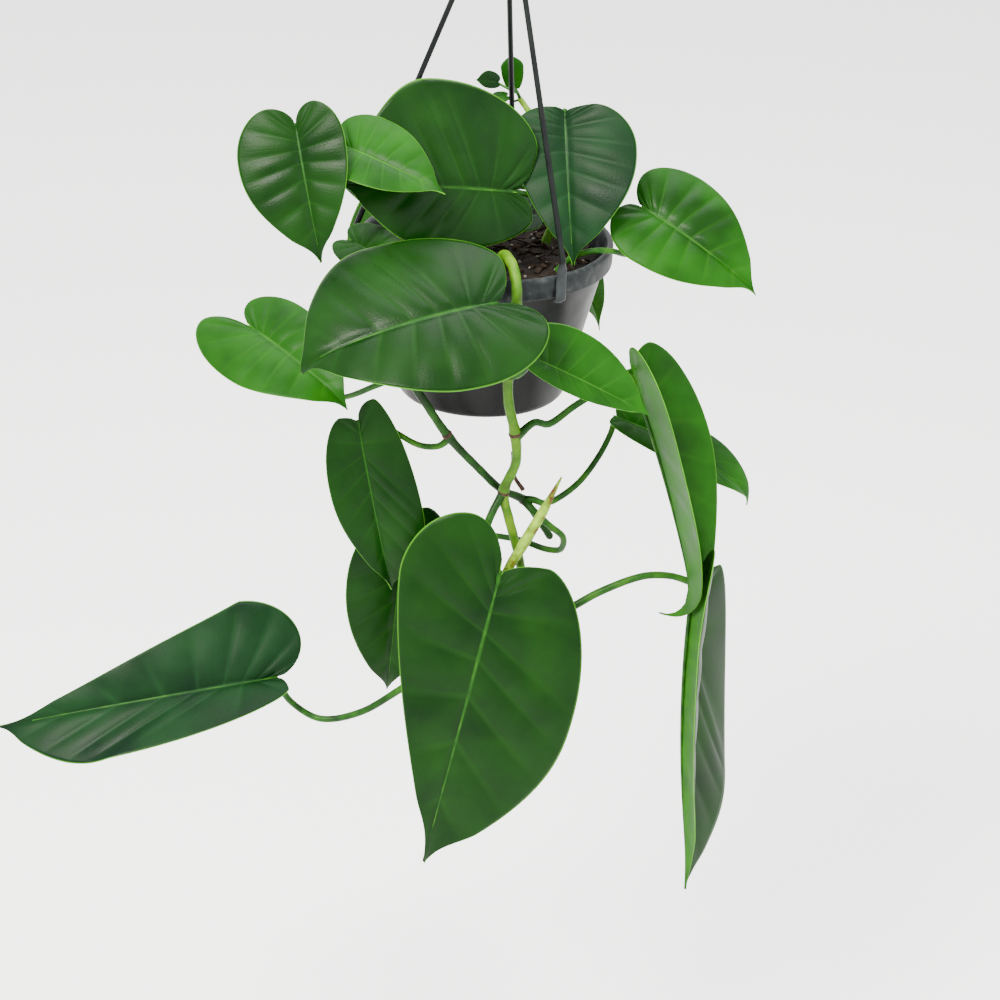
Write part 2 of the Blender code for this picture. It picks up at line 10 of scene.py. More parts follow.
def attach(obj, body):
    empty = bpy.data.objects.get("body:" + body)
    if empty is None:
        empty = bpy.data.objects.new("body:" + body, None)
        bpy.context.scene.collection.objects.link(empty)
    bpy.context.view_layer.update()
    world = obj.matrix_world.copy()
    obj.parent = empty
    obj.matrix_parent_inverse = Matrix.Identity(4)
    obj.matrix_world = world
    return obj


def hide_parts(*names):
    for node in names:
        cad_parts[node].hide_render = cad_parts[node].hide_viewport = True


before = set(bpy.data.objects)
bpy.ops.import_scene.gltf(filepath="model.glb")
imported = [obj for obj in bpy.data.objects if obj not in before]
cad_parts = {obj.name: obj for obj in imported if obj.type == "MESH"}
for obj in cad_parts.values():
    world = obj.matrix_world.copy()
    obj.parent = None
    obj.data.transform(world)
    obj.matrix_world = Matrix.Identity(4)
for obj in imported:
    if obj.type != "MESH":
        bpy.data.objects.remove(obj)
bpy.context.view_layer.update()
mm = 0.001


def linearColor(hexText):
    channels = [int(hexText[i : i + 2], 16) / 255 for i in (0, 2, 4)]
    return tuple(c / 12.92 if c <= 0.04045 else ((c + 0.055) / 1.055) ** 2.4 for c in channels) + (1,)


def node(tree, kind, settings=None, links=None, stops=None):
    # adds one node; links maps an input to a value or to another node's output socket,
    # stops are the places and colours of a colour ramp
    made = tree.nodes.new(kind)
    for key, value in (settings or {}).items():
        setattr(made, key, value)
    for key, value in (links or {}).items():
        if isinstance(value, bpy.types.NodeSocket):
            tree.links.new(value, made.inputs[key])
        else:
            made.inputs[key].default_value = value
    if stops:
        cells = made.color_ramp.elements
        while len(cells) < len(stops):
            cells.new(0.5)
        for cell, (place, hexText) in zip(cells, stops):
            cell.position = place
            cell.color = linearColor(hexText)
    return made


def newMaterial(name, roughness, specular=0.14):
    made = bpy.data.materials.new(name)
    made.use_nodes = True
    shader = made.node_tree.nodes["Principled BSDF"]
    shader.inputs["Roughness"].default_value = roughness
    shader.inputs["IOR"].default_value = 1.45
    shader.inputs["Specular IOR Level"].default_value = specular
    return made, made.node_tree, shader


# Living leaf, upper side: a waxed, quilted skin. It gives a deep green with soft shine, paler sunken
# veins that run out to the edge in arcs, and lighter, yellower patches between them.
leafSkins = {
    "matureLeafSkin": dict(deep="011a01", body="052401", light="0b3203", vein="225212", roughness=0.34),
    "youngLeafSkin": dict(deep="062801", body="0e3c01", light="1a5404", vein="3a741a", roughness=0.38),
    # the third skin is the same leaf skin made darker and cooler: painted shade for leaves that lie in the shade of
    # others
    "paintedShadeLeafSkin": dict(deep="021608", body="052109", light="0d2f12", vein="254f2a", roughness=0.42),
}
leafPattern = dict(veins=9, fineVeins=58, patchSize=34, poreSize=0.9)


def leafSkin(name, deep, body, light, vein, roughness):
    made, tree, shader = newMaterial(name, roughness, specular=0.09)
    uv = node(tree, "ShaderNodeUVMap", {"uv_map": "bladeMap"})
    parts = node(tree, "ShaderNodeSeparateXYZ", links={0: uv.outputs[0]})
    place = node(tree, "ShaderNodeTexCoord").outputs["Object"]
    # 0 on the midrib, 1 on the edge
    centred = node(tree, "ShaderNodeMath", {"operation": "SUBTRACT"}, {0: parts.outputs[0], 1: 0.5})
    offside = node(tree, "ShaderNodeMath", {"operation": "ABSOLUTE"}, {0: centred.outputs[0]})
    side = node(tree, "ShaderNodeMath", {"operation": "MULTIPLY"}, {0: offside.outputs[0], 1: 2.0}).outputs[0]
    patches = node(
        tree, "ShaderNodeTexNoise", links={"Vector": place, "Scale": 1 / (leafPattern["patchSize"] * mm), "Detail": 3.0}
    )
    tones = [(0.28, deep), (0.5, body), (0.9, light)]
    tone = node(tree, "ShaderNodeValToRGB", links={"Fac": patches.outputs[0]}, stops=tones).outputs["Color"]

    def lines(count, width):
        along = node(tree, "ShaderNodeMath", {"operation": "MULTIPLY"}, {0: parts.outputs[1], 1: count}).outputs[0]
        wave = node(tree, "ShaderNodeMath", {"operation": "PINGPONG"}, {0: along, 1: 0.5}).outputs[0]
        return node(
            tree, "ShaderNodeMapRange", {"interpolation_type": "SMOOTHSTEP"},
            {"Value": wave, "From Min": 0.0, "From Max": width, "To Min": 1.0, "To Max": 0.0},
        ).outputs[0]

    lateral = lines(leafPattern["veins"], 0.12)
    fine = lines(leafPattern["fineVeins"], 0.3)
    fade = node(
        tree, "ShaderNodeMapRange",
        links={"Value": side, "From Min": 0.1, "From Max": 1.0, "To Min": 0.1, "To Max": 0.01},
    )
    veinShare = node(tree, "ShaderNodeMath", {"operation": "MULTIPLY"}, {0: lateral, 1: fade.outputs[0]}).outputs[0]
    veined = node(tree, "ShaderNodeMix", {"data_type": "RGBA"}, {"Factor": veinShare, 6: tone, 7: linearColor(vein)})
    rib = node(
        tree, "ShaderNodeMapRange", {"interpolation_type": "SMOOTHSTEP"},
        {"Value": side, "From Min": 0.006, "From Max": 0.028, "To Min": 0.45, "To Max": 0.0},
    ).outputs[0]
    ribbed = node(
        tree, "ShaderNodeMix", {"data_type": "RGBA"}, {"Factor": rib, 6: veined.outputs[2], 7: linearColor(vein)}
    )
    rim = node(
        tree, "ShaderNodeMapRange", {"interpolation_type": "SMOOTHSTEP"},
        {"Value": side, "From Min": 0.98, "From Max": 0.995, "To Min": 0.0, "To Max": 0.7},
    ).outputs[0]
    edged = node(
        tree, "ShaderNodeMix", {"data_type": "RGBA"}, {"Factor": rim, 6: ribbed.outputs[2], 7: linearColor("427a1c")}
    )
    tree.links.new(edged.outputs[2], shader.inputs["Base Color"])
    pores = node(
        tree, "ShaderNodeTexNoise", links={"Vector": place, "Scale": 1 / (leafPattern["poreSize"] * mm), "Detail": 2.0}
    )
    relief = node(tree, "ShaderNodeMath", {"operation": "MULTIPLY_ADD"}, {0: fine, 1: -0.1, 2: pores.outputs[0]})
    sunk = node(tree, "ShaderNodeMath", {"operation": "MULTIPLY_ADD"}, {0: veinShare, 1: -1.5, 2: relief.outputs[0]})
    bump = node(tree, "ShaderNodeBump", links={"Height": sunk.outputs[0], "Strength": 0.3, "Distance": 0.3 * mm})
    tree.links.new(bump.outputs[0], shader.inputs["Normal"])
    gloss = node(
        tree, "ShaderNodeMapRange",
        links={
            "Value": patches.outputs[0], "From Min": 0.3, "From Max": 0.7,
            "To Min": roughness - 0.06, "To Max": roughness + 0.1,
        },
    )
    tree.links.new(gloss.outputs[0], shader.inputs["Roughness"])
    return made


def mottled(name, stops, patchSize, roughness, bumpSize, bumpDepth):
    # colour from patches of one size, relief from grains of another
    made, tree, shader = newMaterial(name, roughness)
    place = node(tree, "ShaderNodeTexCoord").outputs["Object"]
    patches = node(tree, "ShaderNodeTexNoise", links={"Vector": place, "Scale": 1 / (patchSize * mm), "Detail": 4.0})
    tone = node(tree, "ShaderNodeValToRGB", links={"Fac": patches.outputs[0]}, stops=stops)
    tree.links.new(tone.outputs["Color"], shader.inputs["Base Color"])
    grains = node(tree, "ShaderNodeTexNoise", links={"Vector": place, "Scale": 1 / (bumpSize * mm), "Detail": 2.0})
    relief = {"Height": grains.outputs[0], "Strength": 0.5, "Distance": bumpDepth * mm}
    bump = node(tree, "ShaderNodeBump", links=relief)
    tree.links.new(bump.outputs[0], shader.inputs["Normal"])
    worn = node(
        tree, "ShaderNodeMapRange",
        links={
            "Value": patches.outputs[0], "From Min": 0.3, "From Max": 0.7,
            "To Min": roughness - 0.08, "To Max": roughness + 0.1,
        },
    )
    tree.links.new(worn.outputs[0], shader.inputs["Roughness"])
    return made


skins = {name: leafSkin(name, **look) for name, look in leafSkins.items()}
# leaf underside: an even green without veins or wax, so it is dull
underside = mottled("leafUnderside", [(0.3, "143f02"), (0.7, "1f5405")], 12, 0.6, 0.8, 0.2)
# cut edge of the blade, where the skin thins to a pale yellow-green line
leafMargin = mottled("leafMargin", [(0.3, "356e10"), (0.7, "4e8a20")], 10, 0.5, 1.0, 0.1)
# vine bark while green: smooth and a little waxy, yellow where the sun reached it, brown where it rubbed
vineSkin = mottled("vineSkin", [(0.28, "262f06"), (0.45, "335c08"), (0.7, "5a7c0c")], 14, 0.42, 1.2, 0.25)
darkVineSkin = mottled("darkVineSkin", [(0.3, "061602"), (0.55, "0d2f05"), (0.75, "1e4a0a")], 14, 0.42, 1.2, 0.25)
petioleSkin = mottled("petioleSkin", [(0.3, "082203"), (0.5, "133e05"), (0.75, "2d580c")], 11, 0.4, 1.1, 0.2)
# dried sheath rings and the aerial root: dull purple-brown cork
rootCork = mottled("rootCork", [(0.3, "1e1512"), (0.7, "4a3428")], 3, 0.75, 0.6, 0.3)
# rolled new leaf in its sheath, with brown streaks
sheathSkin = mottled("sheathSkin", [(0.35, "4a2c0e"), (0.48, "5f8018"), (0.7, "86a82c")], 6, 0.5, 0.9, 0.2)
# injection-moulded polypropylene, tinted black: satin, with dust caught on the pot and dirt specks at its rim
potPlastic = mottled("potPolypropylene", [(0.35, "050606"), (0.6, "0b0c0d"), (0.85, "181b1b")], 22, 0.42, 0.7, 0.06)
dustyBlacks = [(0.35, "0e1112"), (0.55, "1c2021"), (0.7, "313431"), (0.85, "5c5748")]
rimPlastic = mottled("dustyRimPolypropylene", dustyBlacks, 5, 0.5, 0.7, 0.1)
strapPlastic = mottled("strapPolypropylene", [(0.35, "050807"), (0.7, "0d110f")], 15, 0.38, 0.8, 0.05)
clipPlastic = mottled("clipPolypropylene", [(0.3, "16191a"), (0.7, "2a2e2f")], 8, 0.45, 0.8, 0.05)
# potting mix: damp peat under chips of bark and grains of perlite
peat = mottled("dampPeat", [(0.3, "070504"), (0.55, "140e09"), (0.8, "261b11")], 4, 0.9, 1.2, 0.8)
barkChip = mottled("barkChip", [(0.3, "100b07"), (0.6, "22180f"), (0.85, "3d3020")], 5, 0.85, 0.8, 0.4)
perlite = mottled("perlite", [(0.3, "4c4840"), (0.7, "74706a")], 2, 0.9, 0.5, 0.3)
print("materials made")


def addPiece(name, data, materials, replaced):
    piece = bpy.data.objects.new(name, data)
    bpy.context.scene.collection.objects.link(piece)
    for each in materials:
        data.materials.append(each)
    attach(piece, "root")
    if replaced:
        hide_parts(*replaced)
    return piece


def meshFrom(name, bm, sharp=40, recalculate=True):
    if recalculate:
        bmesh.ops.recalc_face_normals(bm, faces=bm.faces[:])
    bmesh.ops.scale(bm, vec=(mm, mm, mm), verts=bm.verts[:])
    mesh = bpy.data.meshes.new(name)
    bm.to_mesh(mesh)
    bm.free()
    mesh.shade_smooth()
    if sharp:
        mesh.set_sharp_from_angle(angle=radians(sharp))
    return mesh


def smoothRoute(points, step):
    # points about one step apart on a smooth curve through the given points
    knots = [Vector(p) for p in points]
    times = [0.0]
    for before, after in zip(knots, knots[1:]):
        times.append(times[-1] + (after - before).length)
    slopes = []
    for i in range(len(knots)):
        low, high = max(i - 1, 0), min(i + 1, len(knots) - 1)
        slopes.append((knots[high] - knots[low]) / (times[high] - times[low]))
    route = [knots[0]]
    for i in range(len(knots) - 1):
        span = times[i + 1] - times[i]
        parts = max(1, round(span / step))
        for part in range(1, parts + 1):
            t = part / parts
            start = (1 + 2 * t) * (1 - t) ** 2 * knots[i] + t * (1 - t) ** 2 * span * slopes[i]
            end = t * t * (3 - 2 * t) * knots[i + 1] - t * t * (1 - t) * span * slopes[i + 1]
            route.append(start + end)
    return route


def roundStem(name, route, radii, materials, replaced, resolution=5):
    # a round stem along a route, with a radius for every point and closed ends
    curve = bpy.data.curves.new(name, "CURVE")
    curve.dimensions = "3D"
    curve.bevel_depth = mm
    curve.bevel_resolution = resolution
    curve.use_fill_caps = True
    line = curve.splines.new("POLY")
    line.points.add(len(route) - 1)
    for point, place, radius in zip(line.points, route, radii):
        point.co = (*(place * mm), 1)
        point.radius = radius
    line.use_smooth = True
    return addPiece(name, curve, materials, replaced)


def sweep(stations, side, sides):
    # a ring carried through stations of (place, half width along side, half thickness)
    bm = bmesh.new()
    bmesh.ops.create_circle(bm, cap_ends=True, radius=1, segments=sides)
    face = bm.faces[:][0]
    for i, (place, wide, thick) in enumerate(stations):
        if i:
            face = bmesh.ops.extrude_discrete_faces(bm, faces=[face])["faces"][0]
        before, after = stations[max(i - 1, 0)][0], stations[min(i + 1, len(stations) - 1)][0]
        ahead = (after - before).normalized()
        across = (side - side.dot(ahead) * ahead).normalized()
        up = across.cross(ahead)
        for k, vert in enumerate(face.verts):
            angle = tau * k / sides
            vert.co = place + across * wide * cos(angle) + up * thick * sin(angle)
    bmesh.ops.holes_fill(bm, edges=[e for e in bm.edges if e.is_boundary])
    return bm


def turnedShell(profile, center, sides):
    bm = bmesh.new()
    verts = [bm.verts.new((center.x + r, center.y, z)) for r, z in profile]
    edges = [bm.edges.new(pair) for pair in zip(verts, verts[1:])]
    bmesh.ops.spin(bm, geom=verts + edges, cent=center, axis=(0, 0, 1), angle=tau, steps=sides, use_merge=True)
    bmesh.ops.remove_doubles(bm, verts=bm.verts[:], dist=0.001)
    bmesh.ops.dissolve_degenerate(bm, edges=bm.edges[:], dist=0.0001)
    return bm


# Camera, floor and studio light
view = dict(place=(-5, -1227.9, 196.9), down=26.3, right=0.6, roll=2.0, lens=85.86, floorZ=-900, floorReach=12000)
lights = {
    "keySoftbox": dict(place=(-900, -1300, 1300), size=800, power=145, tint="fffaf2"),
    "fillSoftbox": dict(place=(1300, -1000, 500), size=1500, power=17, tint="f4f8ff"),
    "topSoftbox": dict(place=(0, 500, 1500), size=1500, power=52, tint="ffffff"),
}
# the height the lamps aim at, and the strength of the even white light from all around
surround = dict(aimZ=-350, worldStrength=2.6)


def studio():
    camera = bpy.data.cameras.new("viewCamera")
    camera.lens = view["lens"]
    camera.sensor_width = 36
    holder = bpy.data.objects.new("viewCamera", camera)
    turn = Matrix.Rotation(radians(-view["right"]), 4, "Z")
    turn = turn @ Matrix.Rotation(radians(90 - view["down"]), 4, "X") @ Matrix.Rotation(radians(view["roll"]), 4, "Z")
    holder.matrix_world = Matrix.Translation(Vector(view["place"]) * mm) @ turn
    bpy.context.scene.collection.objects.link(holder)
    bpy.context.scene.camera = holder
    for name, settings in lights.items():
        lamp = bpy.data.lights.new(name, "AREA")
        lamp.shape = "DISK"
        lamp.size = settings["size"] * mm
        lamp.energy = settings["power"]
        lamp.color = linearColor(settings["tint"])[:3]
        stand = bpy.data.objects.new(name, lamp)
        place = Vector(settings["place"]) * mm
        aim = Vector((0, 0, surround["aimZ"])) * mm - place
        stand.matrix_world = Matrix.Translation(place) @ aim.to_track_quat("-Z", "Y").to_matrix().to_4x4()
        bpy.context.scene.collection.objects.link(stand)
    world = bpy.data.worlds.new("studioWorld")
    world.use_nodes = True
    world.node_tree.nodes["Background"].inputs[0].default_value = (1, 1, 1, 1)
    world.node_tree.nodes["Background"].inputs[1].default_value = surround["worldStrength"]
    bpy.context.scene.world = world
    bm = bmesh.new()
    bmesh.ops.create_grid(bm, x_segments=1, y_segments=1, size=view["floorReach"])
    bmesh.ops.translate(bm, vec=(0, 0, view["floorZ"]), verts=bm.verts[:])
    floor = bpy.data.objects.new("studioFloor", meshFrom("studioFloor", bm, sharp=None, recalculate=False))
    paper, _, shader = newMaterial("matteWhiteFloor", 0.9)
    shader.inputs["Base Color"].default_value = linearColor("fafaf9")
    floor.data.materials.append(paper)
    bpy.context.scene.collection.objects.link(floor)


studio()
print("camera, lights and floor set")


# Pot: a turned bucket with a stepped rim, a rounded foot and round drain holes
potShape = dict(
    x=-5, rimZ=-250, rimRadius=70, band=12, lip=3.5, height=88, baseRadius=47, neckRadius=65, wall=1.8,
    drains=5, drainRadius=4, drainCircle=30, sides=120,
)


def makePot():
    s = potShape
    z, floor = s["rimZ"], s["rimZ"] - s["height"]
    rim, neck, foot = s["rimRadius"], s["neckRadius"], s["baseRadius"]
    outside = [(0, floor), (foot - 3, floor), (foot - 1.6, floor + 0.3), (foot - 0.5, floor + 1.6), (foot, floor + 3.5)]
    outside += [(neck - 0.2, z - s["band"] - 2.4), (neck + 0.6, z - s["band"] - 1)]
    outside += [(neck + 1.6, z - s["band"] - 0.2), (rim - 1.4, z - s["band"])]
    band = [(rim - 0.6, z - s["band"] + 0.5), (rim - 0.4, z - s["band"] + 1.4), (rim - 0.2, z - 2)]
    band += [(rim - 0.4, z - 0.9), (rim - 1, z - 0.25), (rim - 1.8, z), (rim - s["lip"] + 0.6, z)]
    inside = [(rim - s["lip"], z - 0.5), (rim - s["lip"] - 0.6, z - 1.8), (neck - s["wall"], z - s["band"] - 2)]
    inside += [(foot - s["wall"], floor + 5), (foot - s["wall"] - 1, floor + 2.6)]
    inside += [(foot - 6, floor + s["wall"]), (0, floor + s["wall"])]
    bm = turnedShell(outside + band + inside, Vector((s["x"], 0, 0)), s["sides"])
    pot = addPiece("pot_shell", meshFrom("pot_shell", bm, sharp=50), [potPlastic, rimPlastic], ["pot"])
    for polygon in pot.data.polygons:
        onBand = polygon.center.z > (z - s["band"] + 0.2) * mm
        if onBand and Vector(polygon.center[:2]).length > (neck - 7) * mm:
            polygon.material_index = 1
    for i in range(s["drains"]):
        bm = bmesh.new()
        bmesh.ops.create_cone(
            bm, cap_ends=True, segments=32, radius1=s["drainRadius"], radius2=s["drainRadius"], depth=10
        )
        angle = tau * i / s["drains"]
        place = Vector((s["x"] + s["drainCircle"] * sin(angle), s["drainCircle"] * cos(angle), floor))
        bmesh.ops.translate(bm, vec=place, verts=bm.verts[:])
        cutter = bpy.data.objects.new("drainCutter", meshFrom("drainCutter", bm))
        bpy.context.scene.collection.objects.link(cutter)
        cut = pot.modifiers.new("drain", "BOOLEAN")
        cut.operation = "DIFFERENCE"
        cut.solver = "EXACT"
        cut.object = cutter
        bpy.context.view_layer.update()
        cutMesh = bpy.data.meshes.new_from_object(pot.evaluated_get(bpy.context.evaluated_depsgraph_get()))
        pot.modifiers.remove(cut)
        pot.data = cutMesh
        bpy.data.objects.remove(cutter, do_unlink=True)
    pot.data.name = "pot_shell"


makePot()


# Potting mix: a lumpy peat surface with bark chips, twigs and perlite lying in it
mixShape = dict(topZ=-261, radius=61.5, lump=2.2, lumpSize=9, chips=420, twigs=46, perlite=90, seed=11)


def mixHeight(x, y):
    place = Vector((x / mixShape["lumpSize"], y / mixShape["lumpSize"], 0))
    return mixShape["topZ"] + mixShape["lump"] * noise.noise(place) + 0.6 * noise.noise(place * 3.1)


def makeMix():
    s, x0, floor = mixShape, potShape["x"], potShape["rimZ"] - potShape["height"] + 2.3
    rings = [(s["radius"] * k / 26, s["topZ"]) for k in range(26, -1, -1)]
    profile = [(0, floor), (40, floor), (43.5, floor + 3)] + rings
    bm = turnedShell(profile, Vector((x0, 0, 0)), 90)
    for vert in bm.verts:
        if vert.co.z > s["topZ"] - 1:
            vert.co.z = mixHeight(vert.co.x, vert.co.y)
    addPiece("peat_surface", meshFrom("peat_surface", bm, sharp=None), [peat], ["soil"])
    random.seed(s["seed"])
    loose = {
        "bark_chips": (s["chips"], barkChip),
        "fine_twigs": (s["twigs"], barkChip),
        "perlite_grains": (s["perlite"], perlite),
    }
    for name, (count, skin) in loose.items():
        bm = bmesh.new()
        for _ in range(count):
            reach, angle = s["radius"] * 0.96 * random.random() ** 0.5, random.uniform(0, tau)
            x, y = x0 + reach * cos(angle), reach * sin(angle)
            if name == "bark_chips":
                size, lift = Vector((random.uniform(2, 5.5), random.uniform(1.4, 3), random.uniform(0.6, 1.3))), 0.5
                made = bmesh.ops.create_cube(bm, size=1)["verts"]
            elif name == "fine_twigs":
                size, lift = Vector((random.uniform(7, 18), 0.9, 0.9)), 1.2
                made = bmesh.ops.create_cube(bm, size=1)["verts"]
            else:
                size, lift = Vector((1, 1, 1)) * random.uniform(0.8, 1.9), 0.5
                made = bmesh.ops.create_icosphere(bm, subdivisions=1, radius=0.6)["verts"]
            turn = Matrix.Rotation(random.uniform(0, tau), 3, "Z") @ Matrix.Rotation(random.uniform(-0.5, 0.5), 3, "Y")
            turn = turn @ Matrix.Rotation(random.uniform(-0.6, 0.6), 3, "X")
            for vert in made:
                wobble = 1 + 0.3 * noise.noise(vert.co * 2 + Vector((x, y, 0)))
                local = Vector(a * b for a, b in zip(vert.co * wobble, size))
                vert.co = turn @ local + Vector((x, y, mixHeight(x, y) + lift))
        addPiece(name, meshFrom(name, bm, sharp=30), [skin], None)


makeMix()
print("pot and potting mix made")


# Hanger: an open hook on a collar, and three straps that end in clips hooked under the rim's band
hangerShape = dict(rod=1.8, inside=9, collarRadius=8, collarTop=-50, collarBottom=-59)
strapShape = dict(rod=1.5, clipWide=3.2, clipThick=1.0, gap=0.3)
strapAngles = {"strap_front": 34.5, "strap_left": -77, "strap_back": 168}  # from the front, to the right


def makeHook():
    s = hangerShape
    ring = s["inside"] + s["rod"]
    top, bottom, wide = s["collarTop"], s["collarBottom"], s["collarRadius"]
    points = [(0, 0, top - 4), (0, 0, top + 4), (6, 0, -23)]
    points += [(ring * cos(radians(a)), 0, ring * sin(radians(a)) - s["inside"]) for a in range(-10, 211, 20)]
    rod = [(p, s["rod"], s["rod"]) for p in smoothRoute(points, 1.5)]
    first = next(i for i, station in enumerate(rod) if station[0].z > top + 1)
    collar = [(bottom, 5.5), (bottom + 0.2, 6.8), (bottom + 1, wide), (top - 3.4, wide), (top - 2.6, wide - 0.3)]
    collar += [(top - 1.6, wide - 1.6), (top - 0.6, 3.6), (top + 0.2, 2.5)]
    stations = [(Vector((0, 0, z)), r, r) for z, r in collar] + rod[first:]
    end, before = rod[-1][0], rod[-2][0]
    ahead = (end - before).normalized()
    stations += [(end + ahead * s["rod"] * sin(a), s["rod"] * cos(a), s["rod"] * cos(a)) for a in (0.5, 1.0, 1.4)]
    bm = sweep(stations, Vector((0, 1, 0)), 28)
    addPiece("hook_moulding", meshFrom("hook_moulding", bm), [strapPlastic], ["hanger_hook"])


def makeStrap(name, degrees):
    s = strapShape
    angle = radians(degrees)
    outward, side = Vector((sin(angle), -cos(angle), 0)), Vector((cos(angle), sin(angle), 0))
    center, band = Vector((potShape["x"], 0, potShape["rimZ"])), potShape["band"]
    reach = potShape["rimRadius"] + s["gap"] + s["clipThick"]
    top = center + outward * (reach + 0.4) + Vector((0, 0, 9))
    start = outward * 2.4 + Vector((0, 0, hangerShape["collarBottom"] - 1))
    stations = [(start.lerp(top, i / 40), s["rod"], s["rod"]) for i in range(40)]
    stations += [(top, 1.7, s["rod"]), (top + Vector((0, 0, -1.5)), 2.0, 1.3)]
    full = s["clipWide"]
    clip = [(0.3, 6, 2.5), (0.1, 4.6, 3.0), (0, 3, full), (0, -2, full), (0, -7, full), (0, -band - 0.2, full)]
    clip += [(-0.4, -band - 1.2, full), (-1.2, -band - 1.8, full), (-2.2, -band - 1.9, 3.1), (-3.2, -band - 1.8, 2.8)]
    for out, height, wide in clip:
        stations.append((center + outward * (reach + out) + Vector((0, 0, height)), wide, s["clipThick"]))
    bm = sweep(stations, side, 20)
    strap = addPiece(f"{name}_moulding", meshFrom(name, bm), [strapPlastic, clipPlastic], [name])
    for polygon in strap.data.polygons:
        if polygon.center.z < (potShape["rimZ"] + 8) * mm:
            polygon.material_index = 1


makeHook()
for name, degrees in strapAngles.items():
    makeStrap(name, degrees)
print("hanger made")


